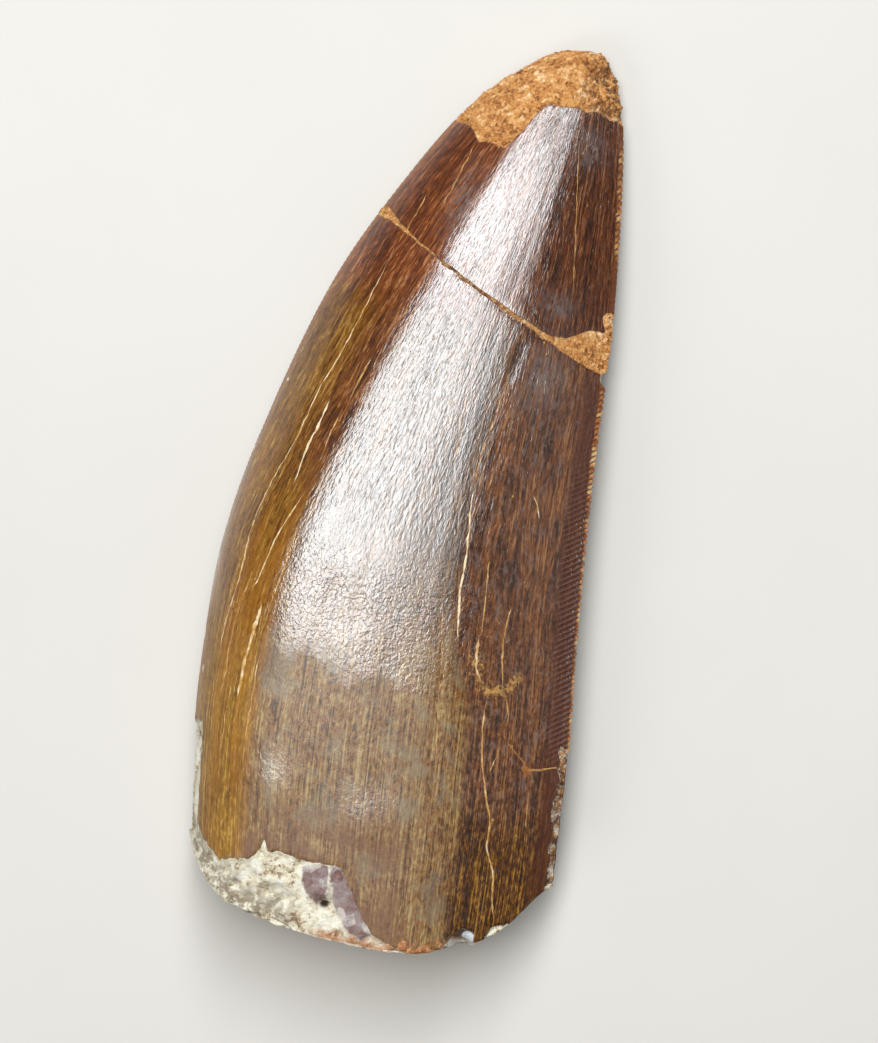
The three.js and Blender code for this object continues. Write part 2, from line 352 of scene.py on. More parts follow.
def crackField(spots, cracks, wanted):        # signed distance to the nearest crack, its width and tone
    gap, show = np.full(len(spots), farAway), np.zeros(len(spots))
    tone = np.full(len(spots), crackShape["plainTone"])
    margin = crackShape["margin"]
    for width, shade, route in cracks:
        line = curveThrough(route)(np.linspace(0, 1, crackShape["stepsPerPoint"] * len(route)))
        box = wanted & (spots > line.min(0) - margin).all(1) & (spots < line.max(0) + margin).all(1)
        here = np.flatnonzero(box)
        best, signed = np.full(len(here), farAway), np.full(len(here), farAway)
        fade = np.zeros(len(here))
        for step, (a, b) in enumerate(zip(line[:-1], line[1:])):
            reach = b - a
            share = np.clip((spots[here] - a) @ reach / (reach @ reach), 0, 1)
            off = spots[here] - a - share[:, None] * reach
            far = np.hypot(*off.T)
            closer = far < best
            best[closer] = far[closer]
            signed[closer] = (far * np.sign(reach[0] * off[:, 1] - reach[1] * off[:, 0]))[closer]
            run = (step + share) / (len(line) - 1)
            ends = np.minimum(run, 1 - run) * crackShape["endFade"]
            fade[closer] = np.clip(ends, crackShape["thinnest"], 1)[closer]
        wins = best < np.abs(gap[here])
        gap[here[wins]] = signed[wins]
        near = np.clip(crackShape["showFull"] - best / crackShape["showReach"], 0, 1)
        show[here[wins]] = (width * fade * near)[wins]
        tone[here[wins]] = shade
    return gap, show, tone


# The saw edges
saw = {
    "pitch": ([-30, 5, 25, 38], [0.55, 0.55, 0.62, 0.8]),
    "bite": ([-25, -22, 13, 14.5, 20, 22, 26, 28, 36, 39], [0, 0.9, 1, 0.1, 0.1, 0.3, 0.35, 1, 0.8, 0]),
    "ridges": ([-25, -22, -4, 2, 6, 14], [0, 1, 1, 0.6, 0.15, 0]),
    "frontBite": ([-12, -4, 30, 35], [0, 1, 1, 0]),
    "run": (-50, 50, 4000),    # stretch along which the points are counted, and its steps
    "depth": 0.28,
    "reach": 0.4,
    "gulletFrom": 0.25,        # gullets are narrower than points
    "biteMean": 0.75,
    "biteStir": [(0.5, 0.5, 61)],
    "biteRange": (0.2, 1.1),
    "ridge": 0.11,
    "ridgeSlope": 0.7,         # the grooves between the points run in and toward the root
    "ridgeReach": (2.9, 1.6),
    "ridgeStir": 0.5,
    "ridgeClear": (0.1, 0.6),
    "ridgeUnder": 0.6,
    "frontDepth": 0.04,
    "frontReach": 0.35,
    "frontFrom": 0.2,
    "frontPitch": 1.1,
    "frontShift": 3,
}


def sawPhase(y):
    fine = np.linspace(*saw["run"])
    pitch = np.interp(fine, *saw["pitch"])
    turns = np.concatenate([[0], np.cumsum(np.diff(fine) / pitch[1:])])
    return np.interp(y, fine, turns)


def gullets(turn, start):
    return ((np.cos(2 * np.pi * turn) - start) / (1 - start)).clip(0)


def wrapTooth(bm):
    around = np.array([v.co.x for v in bm.verts])
    along = np.array([v.co.y for v in bm.verts])
    onBreak = along < -sheet["tiny"]
    rim, place, across, width = crownPoints(around, along.clip(0))
    facing = crownPoints(2 - around, along.clip(0))[0]
    inward = np.where(onBreak, -along * sheet["rows"] / sheet["breakRows"], 0)
    points = rim + (facing - rim) / 2 * inward[:, None]
    for vert, point in zip(bm.verts, points):
        vert.co = point
    keep = {"around": around, "along": along, "place": place, "across": across, "width": width,
            "inward": inward}
    for name, values in keep.items():
        layer = bm.verts.layers.float.new(name)
        for vert, value in zip(bm.verts, values):
            vert[layer] = value
    side = bm.faces.layers.int.new("side")
    for face in bm.faces:        # 0 outer face, 1 inner face, 2 broken root end
        middle = sum(v[bm.verts.layers.float["around"]] for v in face.verts) / len(face.verts)
        low = sum(v[bm.verts.layers.float["along"]] for v in face.verts)
        face[side] = 2 if low < 0 else 0 if middle <= 1 else 1
    bmesh.ops.remove_doubles(bm, verts=bm.verts, dist=sheet["weld"])
    bmesh.ops.triangulate(bm, faces=[f for f in bm.faces if len(f.verts) > 4])
    bm.normal_update()
    openEdges = sum(len(e.link_faces) != 2 for e in bm.edges)
    print("tooth wrapped:", len(bm.verts), "points,", openEdges, "open edges")
    return {name: np.array([v[bm.verts.layers.float[name]] for v in bm.verts]) for name in keep}


# Sizes of the relief in millimetres; a stir is a list of noises, each with its size, scale and seed
relief = {
    "growthSpace": (18, 7),    # half width and depth of the space that the growth streaks run in
    "wobble": [(0.28, 0.9, 0), (0.14, 2.7, 5)],
    "swelling": [(0.07, 0.1, 3), (0.014, 0.34, 7)],
    "streakStretch": (0.9, 0.05, 0.9),
    "streaks": [(0.02, 1, 9)],
    "sand": [(0.5, 1.5, 0), (0.5, 3.2, 4)],
    "lumps": [(1, 0.5, 31)],
    "crackStir": (0.1, 1.4, (11, 23)),
    "crackDepth": 0.4,
    "crackReach": 0.18,
    "flakeDepth": 0.1,
    "crustSink": 0.16,
    "crustSand": (0.24, 0.35),         # on the whole crust, then more where the tip is ragged
    "crustLumps": (0.2, 0.4),
    "crustRagged": [(0.5, 1.0, 33)],
    "fillSink": 0.06,
    "fillSand": (0.04, 0.28),          # in the bare groove, then more where it is sandy
    "wornSink": 0.42,
    "wornSand": 0.2,
    "wornLumps": [(0.22, 0.8, 41)],
    "plateFrom": -0.2,
    "plateLift": 0.26,
    "plateSmooth": 0.16,
    "quartzLift": 0.7,
    "chipStir": [(0.5, 0.7, 71)],
    "chipBared": 0.6,
    "pulpEdge": (0.4, 0.8),
    "pulpStir": [(0.22, 0.3, 57), (0.1, 1.1, 53)],
    "wallLumps": [(1.1, 0.45, 51)],
    "wallRough": [(0.6, 1.1, 53)],
    "wallSand": 0.3,
    "rootBared": 2,
    "rust": 0.9,
}

# How far the wobble shakes the edge of each mark
edgeStir = {"bend": 0.5, "crust": 1.2, "bared": 0.8, "strip": 0.5, "rearWear": 1.8, "plate": 0.7,
            "flake": 0.5, "quartz": 0.4, "scar": 0.3, "pore": 0.5, "grime": 3, "rust": 2.4}

# Where each step of the relief starts and where it is full
steps = {
    "enamelBared": (0.1, -0.25), "enamelCrust": (0.05, -0.2), "enamelFill": (0.05, -0.1),
    "crust": (-0.1, 0.35), "fill": (-0.35, 0.45), "bared": (-0.1, 0.25), "flake": (-0.05, 0.2),
    "plate": (-0.1, 0.2), "quartz": (-0.1, 0.5), "notch": (1.5, 0.6),
    "raggedAcross": (1.5, 5), "raggedAlong": (38.8, 41),       # the tip is most broken toward the rear edge
    "grimeRim": (3.4, 0.4), "grimeAcross": (-2, -6),
    "rustRim": (1.2, 0.2), "rustFrom": (-3, 0), "rustTo": (15.5, 13.5),
}


def step(name, value):
    return smooth(*steps[name], value)


def stir(points, layers):
    return sum(size * grain(points, scale, seed) for size, scale, seed in layers)


def scoop(points, chip, rough):
    middle, reach, push = (np.array(values, float) for values in chip)
    push /= np.linalg.norm(push)
    start = (points - middle) / reach
    pace = push / reach
    inside = 1 - (start ** 2).sum(1) + rough
    hit = inside > 0
    lean = start @ pace
    square = pace @ pace
    run = (np.sqrt((lean ** 2 + square * inside).clip(0)) - lean) / square
    return points + np.where(hit, run, 0)[:, None] * push, hit


def toothSpots(bm, lay):        # where each point lies on the tooth
    points = np.array([v.co for v in bm.verts])
    place = lay["place"]
    outer, root = lay["around"] <= 1, lay["inward"] > sheet["tiny"]
    wide, deep = relief["growthSpace"]
    growth = np.column_stack([place * wide, points[:, 1], np.where(outer, 1, -1) * (1 - place ** 2) * deep])
    sand = sum(share * pebbles(points, scale, seed) for share, scale, seed in relief["sand"])
    return SimpleNamespace(
        points=points, normals=np.array([v.normal for v in bm.verts]), x=points[:, 0], y=points[:, 1],
        outer=outer, root=root, face=outer & ~root, growth=growth, sand=sand,
        radial=np.sqrt(place ** 2 + (1 - place ** 2) * (1 - lay["inward"]) ** 2),
        rearGap=(1 - lay["across"]) * lay["width"] / 2,
        frontGap=(1 + lay["across"]) * lay["width"] / 2,
        rimGap=lay["along"].clip(0) * 2 * crown["halfLength"],
        wobble=stir(points, relief["wobble"]),
        lumps=stir(points, relief["lumps"]))


def toothMarks(t):        # signed distances in millimetres, above zero inside each mark
    x, y = t.x, t.y
    stirred = {name: size * t.wobble for name, size in edgeStir.items()}
    bend = (y - bendLine(x)) * marks["breakSlant"] + stirred["bend"]
    fillLow, fillHigh, groove, sandy = (np.interp(x, marks["breakPlaces"], marks[name])
                                        for name in ("fillBelow", "fillAbove", "grooveDepth", "fillSandy"))
    base, gain = marks["fillStir"]
    fillLow, fillHigh = (np.where(t.outer, reach, marks["fillUnder"]) + (base + gain * reach) * t.wobble
                         for reach in (fillLow, fillHigh))
    fillHigh = fillHigh * (1 + stir(t.points, marks["fillRagged"]))
    crust = y - np.where(t.outer, edgeAt("crustEdge", x), edgeAt("crustUnder", x)) + stirred["crust"]
    bared = np.where(t.outer, edgeAt("enamelEdge", x), edgeAt("enamelUnder", x)) - y + stirred["bared"]
    slope, start, wide = marks["frontStrip"]
    strip = np.minimum(slope * (start - y), wide - t.frontGap) + stirred["strip"]
    start, end, wide = marks["rearStrip"]
    rearWear = np.minimum(np.minimum(start - y, y - end), wide - t.rearGap) + stirred["rearWear"]
    bared = np.maximum(np.maximum(bared, strip), rearWear)
    plate = np.maximum(*(insideOf(ring, x, y) for ring in marks["plates"]))
    stoneX, stoneY, stoneSize = marks["quartz"]
    quartz = stoneSize - np.hypot(x - stoneX, y - stoneY)
    notchX, notchY, notchReach = marks["notch"]
    grime = step("grimeRim", t.rimGap + stirred["grime"]) * step("grimeAcross", x) * t.face
    rust = relief["rust"] * step("rustRim", t.rimGap + stirred["rust"])
    return {"bend": bend, "fillLow": fillLow, "fillHigh": fillHigh, "fillSandy": sandy, "groove": groove,
            "fill": np.minimum(bend + fillLow, fillHigh - bend), "crust": crust,
            "bared": np.where(t.root, relief["rootBared"], bared),
            "rearWear": np.where(t.root, -farAway, rearWear),
            "plate": np.where(t.face, plate, -farAway) + stirred["plate"],
            "flake": np.where(t.outer, insideOf(marks["shadowedFlake"], x, y) + stirred["flake"], -farAway),
            "quartz": np.where(t.face, quartz, -farAway) + stirred["quartz"],
            "scar": np.where(t.outer, insideOf(marks["scar"], x, y) + stirred["scar"], -farAway),
            "notch": step("notch", np.hypot(x - notchX, y - notchY) / notchReach) * t.outer,
            "ragged": step("raggedAcross", x) * step("raggedAlong", y), "grime": grime,
            "rust": rust * step("rustFrom", x) * step("rustTo", x) * t.face,
            "films": softPatches(t, "films"), "swells": softPatches(t, "swells")}


def softPatches(t, name):        # soft round patches on the outer face
    spread = np.zeros(len(t.points))
    for midX, midY, wide, tall in marks[name]:
        spread = np.maximum(spread, np.exp(-((t.x - midX) / wide) ** 2 - ((t.y - midY) / tall) ** 2))
    return np.where(t.face, spread, 0)


def crackMarks(t):
    size, scale, seeds = relief["crackStir"]
    spots = t.points[:, :2] + size * np.column_stack([grain(t.points, scale, seed) for seed in seeds])
    outerField = crackField(spots, outerCracks, t.face)
    innerField = crackField(spots, innerCracks, ~t.outer & ~t.root)
    gap, show, tone = (np.where(t.outer, a, b) for a, b in zip(outerField, innerField))
    web = np.abs(crackField(spots, [(1, 1, marks["web"])], t.face)[0])
    return {"crack": gap, "crackShow": show, "crackTone": tone, "web": web}


def faceRelief(t, f, enamel):        # height along the normal, and how deep in a pore each point lies
    rise = stir(t.growth, relief["swelling"])
    rise += stir(t.growth * np.array(relief["streakStretch"]), relief["streaks"])
    for dentX, dentY, reach, depth in marks["dents"]:
        rise -= np.where(t.outer, depth, 0) * np.exp(-((t.x - dentX) ** 2 + (t.y - dentY) ** 2) / reach ** 2)
    rise -= enamel * relief["crackDepth"] * f["crackShow"] * np.exp(-(f["crack"] / relief["crackReach"]) ** 2)
    rise -= relief["flakeDepth"] * step("flake", f["flake"])
    (sandLow, sandMore), (lumpsLow, lumpsMore) = relief["crustSand"], relief["crustLumps"]
    ragged = f["ragged"]
    rise += step("crust", f["crust"]) * (-relief["crustSink"] + (sandLow + sandMore * ragged) * t.sand
                                         + (lumpsLow + lumpsMore * ragged) * t.lumps
                                         + ragged * stir(t.points, relief["crustRagged"]))
    bare, sandy = relief["fillSand"]
    filling = -f["groove"] - relief["fillSink"] + (bare + sandy * f["fillSandy"]) * t.sand
    rise += step("fill", f["fill"]) * filling
    worn = -relief["wornSink"] + relief["wornSand"] * t.sand + stir(t.points, relief["wornLumps"])
    lift = (relief["plateLift"] - relief["plateSmooth"] * t.sand) * step("plate", f["plate"])
    worn = np.where(f["plate"] > relief["plateFrom"], worn + lift, worn)
    rise += step("bared", f["bared"]) * np.where(t.root, 0, worn)
    pit = np.zeros(len(t.points))
    for poreX, poreY, reach, depth in marks["pores"]:
        away = np.hypot(t.x - poreX, t.y - poreY) + edgeStir["pore"] * t.wobble
        pore = np.where(t.face, 1, 0) * np.exp(-(away / reach) ** 2)
        rise -= depth * pore
        pit = np.maximum(pit, pore * min(depth, 1))
    return np.where(t.root, 0, rise), pit


def rootHollow(t):        # a rough wall of dentine round the sunken filling of the pulp
    sunken = 1 - smooth(*relief["pulpEdge"], t.radial + stir(t.points, relief["pulpStir"]))
    hollow = crown["fillingDepth"] * sunken + (1 - t.radial ** 4) * stir(t.points, relief["wallLumps"])
    hollow += (1 - t.radial ** 6) * (stir(t.points, relief["wallRough"]) - relief["wallSand"] * t.sand)
    return np.where(t.root, hollow, 0), np.where(t.root, sunken, 0)


def sawCuts(t, enamel):        # saw points and the grooves between them
    uneven = (saw["biteMean"] + stir(t.points, saw["biteStir"])).clip(*saw["biteRange"])
    bite = np.interp(t.y, *saw["bite"]) * uneven
    turn = sawPhase(t.y + saw["ridgeSlope"] * t.rearGap)
    gullet = gullets(turn, saw["gulletFrom"])
    ridges = smooth(*saw["ridgeReach"], t.rearGap + saw["ridgeStir"] * t.lumps)
    ridges = np.interp(t.y, *saw["ridges"]) * ridges
    ridges = np.where(t.root, 0, ridges * np.where(t.outer, 1, saw["ridgeUnder"]) * enamel)
    wave = (1 - np.cos(2 * np.pi * turn)) / 2
    rise = saw["ridge"] * ridges * (wave - 0.5) * smooth(*saw["ridgeClear"], t.rearGap)
    back = saw["depth"] * bite * gullet * np.exp(-(t.rearGap / saw["reach"]) ** 2)
    frontGullet = gullets(sawPhase(t.y * saw["frontPitch"] + saw["frontShift"]), saw["frontFrom"])
    frontBite = np.interp(t.y, *saw["frontBite"]) * saw["frontDepth"]
    frontBack = frontBite * frontGullet * np.exp(-(t.frontGap / saw["frontReach"]) ** 2)
    return rise, frontBack - back, {"ridges": ridges, "wave": wave, "teeth": bite * (1 - gullet)}


def reliefOf(bm, lay):        # the carved points, and the marks that the material reads
    t = toothSpots(bm, lay)
    f = {**toothMarks(t), **crackMarks(t)}
    enamel = step("enamelBared", f["bared"]) * step("enamelCrust", f["crust"]) * step("enamelFill", f["fill"])
    rise, pit = faceRelief(t, f, enamel)
    hollow, pulp = rootHollow(t)
    sawRise, sawBack, sawMarks = sawCuts(t, enamel)
    moved = t.points + t.normals * (rise + sawRise)[:, None]
    moved[:, 1] += hollow
    moved[:, 0] += sawBack
    chipped = np.zeros(len(t.points))
    rough = stir(t.points, relief["chipStir"])
    for chip in chips:
        moved, hit = scoop(moved, chip, rough)
        chipped = np.maximum(chipped, hit)
    moved[:, 2] += relief["quartzLift"] * step("quartz", f["quartz"])
    moved[:, 2] = moved[:, 2].clip(0)
    f["bared"] = np.maximum(f["bared"], np.where(chipped > 0, relief["chipBared"], -farAway))
    del f["groove"], f["fill"]
    return moved, {**f, **sawMarks, "growth": t.growth, "rearGap": t.rearGap, "frontGap": t.frontGap,
                   "pit": pit, "pulp": pulp}


bakeLayout = {"scale": 1 / 106, "middle": 0.5, "outerAt": 0.205, "innerAt": 0.615, "breakAt": 0.9,
              "breakHeight": 7}


def bakeMap(bm):        # three flat islands for the baked colours: outer face, inner face, broken end
    layer = bm.loops.layers.uv.new("OFBake")
    side = bm.faces.layers.int["side"]
    scale, middle = bakeLayout["scale"], bakeLayout["middle"]
    for face in bm.faces:
        for loop in face.loops:
            x, y, z = loop.vert.co
            if face[side] == 2:
                spot = (bakeLayout["breakAt"] + (z - bakeLayout["breakHeight"]) * scale, middle + x * scale)
            elif face[side] == 1:
                spot = (bakeLayout["innerAt"] - x * scale, middle + y * scale)
            else:
                spot = (bakeLayout["outerAt"] + x * scale, middle + y * scale)
            loop[layer].uv = spot


def makeTooth():
    bm = toothSheet()
    lay = wrapTooth(bm)
    moved, fields = reliefOf(bm, lay)
    for vert, point in zip(bm.verts, moved):
        vert.co = point
    bakeMap(bm)
    bmesh.ops.scale(bm, vec=(mm, mm, mm), verts=bm.verts)
    for name in lay:
        bm.verts.layers.float.remove(bm.verts.layers.float[name])
    mesh = bpy.data.meshes.new("toothCrown")
    bm.to_mesh(mesh)
    bm.free()
    for name, values in fields.items():
        kind = "FLOAT_VECTOR" if values.ndim == 2 else "FLOAT"
        store = mesh.attributes.new(name, kind, "POINT")
        store.data.foreach_set("vector" if values.ndim == 2 else "value", values.ravel().astype(np.float32))
    mesh.shade_smooth()
    tooth = bpy.data.objects.new("toothCrown", mesh)
    bpy.context.collection.objects.link(tooth)
    mesh.calc_loop_triangles()
    print("tooth carved:", len(mesh.loop_triangles), "triangles")
    return tooth


def brushes(material):        # short names for the nodes that paint the stone
    nodes, links = material.node_tree.nodes, material.node_tree.links

    def add(kind, slots, out=0, **settings):
        node = nodes.new(kind)
        for key, value in settings.items():
            setattr(node, key, value)
        for key, value in slots.items():
            if isinstance(value, bpy.types.NodeSocket):
                links.new(value, node.inputs[key])
            else:
                node.inputs[key].default_value = value
        return node.outputs[out]

    def mark(name, out="Fac"):
        return add("ShaderNodeAttribute", {}, out, attribute_name=name)

    def calc(kind, a, b=0.0, c=0.0):
        return add("ShaderNodeMath", {0: a, 1: b, 2: c}, operation=kind)

    def stretched(vector, scale):
        return add("ShaderNodeVectorMath", {0: vector, 1: scale}, operation="MULTIPLY")

    def cloud(vector, scale, detail=3.0, rough=0.55, twist=0.0):
        return add("ShaderNodeTexNoise", {"Vector": vector, "Scale": scale, "Detail": detail,
                                          "Roughness": rough, "Distortion": twist})

    def drawnOut(name, vector):
        stretch, *settings = growthClouds[name]
        return cloud(stretched(vector, stretch), 1.0, *settings)

    def even(name, vector):
        return cloud(vector, *evenClouds[name])

    def weigh(clouds, shares):        # clouds added up by their shares
        total = 0.0
        for name, share in shares:
            total = calc("MULTIPLY_ADD", clouds[name], share, total)
        return total

    def fade(value, low, high, start=0.0, end=1.0):
        return add("ShaderNodeMapRange", {"Value": value, "From Min": low, "From Max": high, "To Min": start,
                                          "To Max": end}, interpolation_type="SMOOTHSTEP")

    def zone(name, value):
        return fade(value, *zones[name])

    def spread(value, low, high):
        return add("ShaderNodeMapRange", {"Value": value, "From Min": low, "From Max": high})

    def mix(share, a, b, kind="MIX"):
        a, b = (tuple(v) + (1,) if isinstance(v, tuple) and len(v) == 3 else v for v in (a, b))
        return add("ShaderNodeMix", {0: share, 6: a, 7: b}, 2, data_type="RGBA", blend_type=kind)

    def tinted(colour, name, share):
        return mix(calc("MULTIPLY", share, strength[name]), colour, tints[name])

    def blend(share, a, b):
        return add("ShaderNodeMix", {0: share, 2: a, 3: b}, 0, data_type="FLOAT")

    def tones(value, stops):
        node = nodes.new("ShaderNodeValToRGB")
        links.new(value, node.inputs[0])
        ramp = node.color_ramp
        while len(ramp.elements) < len(stops):
            ramp.elements.new(0.5)
        for element, (spot, colour) in zip(ramp.elements, stops):
            element.position = spot
            element.color = (*colour, 1)
        return node.outputs[0]

    return SimpleNamespace(add=add, mark=mark, calc=calc, stretched=stretched, cloud=cloud, drawnOut=drawnOut,
                           even=even, weigh=weigh, fade=fade, zone=zone, spread=spread, mix=mix,
                           tinted=tinted, blend=blend, tones=tones)


# Colours of the stone as linear light, over the spread of the growth streaks
enamelTones = {
    "middle": [(0, (0.04, 0.018, 0.009)), (0.4, (0.074, 0.035, 0.015)), (0.7, (0.115, 0.054, 0.021)),
               (1, (0.18, 0.09, 0.035))],
    "upper": [(0, (0.024, 0.009, 0.005)), (0.3, (0.058, 0.018, 0.008)), (0.6, (0.112, 0.032, 0.011)),
              (0.85, (0.18, 0.056, 0.016)), (1, (0.27, 0.12, 0.05))],
    "rear": [(0, (0.03, 0.011, 0.006)), (0.3, (0.07, 0.026, 0.011)), (0.55, (0.115, 0.04, 0.014)),
             (0.8, (0.18, 0.062, 0.018)), (1, (0.25, 0.115, 0.042))],
    "flank": [(0, (0.08, 0.026, 0.005)), (0.22, (0.13, 0.052, 0.008)), (0.45, (0.175, 0.084, 0.012)),
              (0.62, (0.24, 0.088, 0.01)), (0.8, (0.21, 0.112, 0.017)), (1, (0.38, 0.21, 0.045))],
    "low": [(0, (0.055, 0.026, 0.008)), (0.25, (0.12, 0.056, 0.013)), (0.45, (0.24, 0.086, 0.013)),
            (0.62, (0.16, 0.12, 0.06)), (0.8, (0.25, 0.125, 0.026)), (1, (0.32, 0.22, 0.09))],
    "lowRear": [(0, (0.018, 0.005, 0.001)), (0.3, (0.046, 0.013, 0.001)), (0.6, (0.1, 0.034, 0.002)),
                (0.85, (0.17, 0.07, 0.005)), (1, (0.28, 0.135, 0.018))],
}
stoneTones = {
    # the palest stop of the sandy stone is brightened as a painted highlight on its grains; the rest is the
    # grains' own colour
    "sandy": [(0, (0.19, 0.062, 0.012)), (0.25, (0.44, 0.165, 0.036)), (0.55, (0.64, 0.29, 0.075)),
              (0.8, (0.74, 0.4, 0.15)), (1, (0.88, 0.66, 0.4))],
    "groove": [(0, (0.03, 0.011, 0.004)), (0.35, (0.11, 0.038, 0.012)), (0.65, (0.28, 0.12, 0.04)),
               (1, (0.52, 0.3, 0.14))],
    "dentine": [(0, (0.26, 0.16, 0.09)), (0.1, (0.45, 0.34, 0.21)), (0.24, (0.68, 0.59, 0.42)),
                (0.55, (0.86, 0.79, 0.61)), (1, (0.93, 0.9, 0.8))],
    "rust": [(0, (0.16, 0.045, 0.012)), (0.5, (0.46, 0.17, 0.055)), (1, (0.66, 0.4, 0.22))],
    "plate": [(0, (0.14, 0.06, 0.05)), (0.35, (0.24, 0.155, 0.14)), (0.65, (0.28, 0.22, 0.21)),
              (1, (0.52, 0.46, 0.41))],
}
markTones = {
    "sawPoints": [(0, (0.2, 0.05, 0.012)), (0.5, (0.45, 0.17, 0.04)), (1, (0.6, 0.4, 0.18))],
    "cracks": [(0, (0.03, 0.011, 0.005)), (0.2, (0.06, 0.02, 0.007)), (0.42, (0.32, 0.12, 0.03)),
               (0.7, (0.52, 0.31, 0.1)), (1, (0.8, 0.66, 0.45))],
}
tints = {
    # painted sheen: a grey laid in patches over the lower face
    "grey": (0.2, 0.16, 0.1),
    # painted sheen: a grey-mauve flecked over the rear slope
    "mauve": (0.135, 0.092, 0.078),
    "blush": (0.15, 0.062, 0.026),
    "glow": (0.28, 0.095, 0.012),
    "dimFlank": (0.76, 0.7, 0.68),
    "paleFlank": (0.045, 0.03, 0.004),
    "crimsonRear": (0.74, 0.72, 0.7),
    "crimsonFront": (0.03, 0.006, 0),
    "stain": (0.6, 0.42, 0.34),
    "freckle": (0.46, 0.27, 0.09),
    "sawBand": (0.06, 0.012, 0.003),
    # painted highlight: a pale mauve-grey for the crests of the saw ridges
    "crest": (0.2, 0.13, 0.12),
    "gullet": (0.12, 0.035, 0.01),
    "frontEdge": (0.3, 0.1, 0.015),
    "nicks": (0.62, 0.5, 0.4),
    # painted shadow: the dark brown of the flaked patch stands in for the shade along its step
    "flake": (0.04, 0.015, 0.007),
    "web": (0.5, 0.27, 0.075),
    "scar": (0.3, 0.1, 0.014),
    # painted sheen: a pale grey laid on the enamel where it stands in for reflections
    "haze": (0.16, 0.135, 0.13),
    # painted shade: a dark brown for the pits of the ragged tip crust
    "pits": (0.1, 0.034, 0.009),
    "grime": (0.25, 0.19, 0.12),
    # painted highlight: a cream rim along the edges of the stone plates
    "plateRim": (0.55, 0.47, 0.38),
    "pore": (0.05, 0.025, 0.014),
    "notch": (0.05, 0.022, 0.012),
    "quartz": (0.52, 0.54, 0.57),
}

# How much of each tint shows where it is fullest
strength = {"stain": 0.45, "freckle": 0.8, "crest": 0.4, "sawEdge": 0.9, "frontEdge": 0.6, "flake": 0.8,
            "scar": 0.7, "haze": 0.6, "pits": 0.85, "grime": 0.85, "notch": 0.85, "rusty": 0.85}

# Clouds drawn out along the growth: stretch, detail, roughness and twist
growthClouds = {
    "sway": ((0.3, 0.12, 0.3), 3.0, 0.55, 0.0),
    "broad": ((0.6, 0.05, 0.5), 3.0, 0.55, 0.0),
    "fine": ((2.4, 0.2, 2.0), 4.0, 0.6, 0.0),
    "pin": ((6.0, 0.4, 5.0), 2.0, 0.6, 0.0),
    "fleck": ((4.0, 1.4, 4.0), 3.0, 0.65, 0.0),
    "lines": ((7.5, 0.09, 6.5), 2.0, 0.5, 0.0),        # long fine lines low on the crown
    "grey": ((0.4, 0.25, 0.4), 4.0, 0.6, 0.0),
    "mauve": ((2.0, 0.7, 2.0), 4.0, 0.7, 0.0),
    "glow": ((0.8, 0.04, 0.7), 3.0, 0.6, 0.0),
    "stain": ((0.25, 0.1, 0.25), 3.0, 0.6, 0.0),
    "haze": ((2.0, 0.9, 2.0), 4.0, 0.7, 0.0),
    "leather": ((3.6, 1.1, 3.6), 1.5, 0.5, 0.5),
    "hide": ((3.3, 2.3, 3.3), 1.5, 0.5, 0.8),
}

# Even clouds: scale, detail and roughness
evenClouds = {
    "ripple": (3.2, 3.0, 0.55),
    "speckle": (1.2, 4.0, 0.7),
    "mottle": (0.32, 4.0, 0.6),
    "crackWidth": (0.7, 2.0, 0.55),
    "crackShade": (1.3, 3.0, 0.55),
    "sawPoints": (0.8, 3.0, 0.55),
    "nicks": (0.55, 3.0, 0.55),
    "web": (1.7, 5.0, 0.8),
    "sheen": (0.8, 2.0, 0.55),
    "gloss": (0.4, 3.0, 0.6),
    "pores": (4.0, 4.0, 0.7),
}

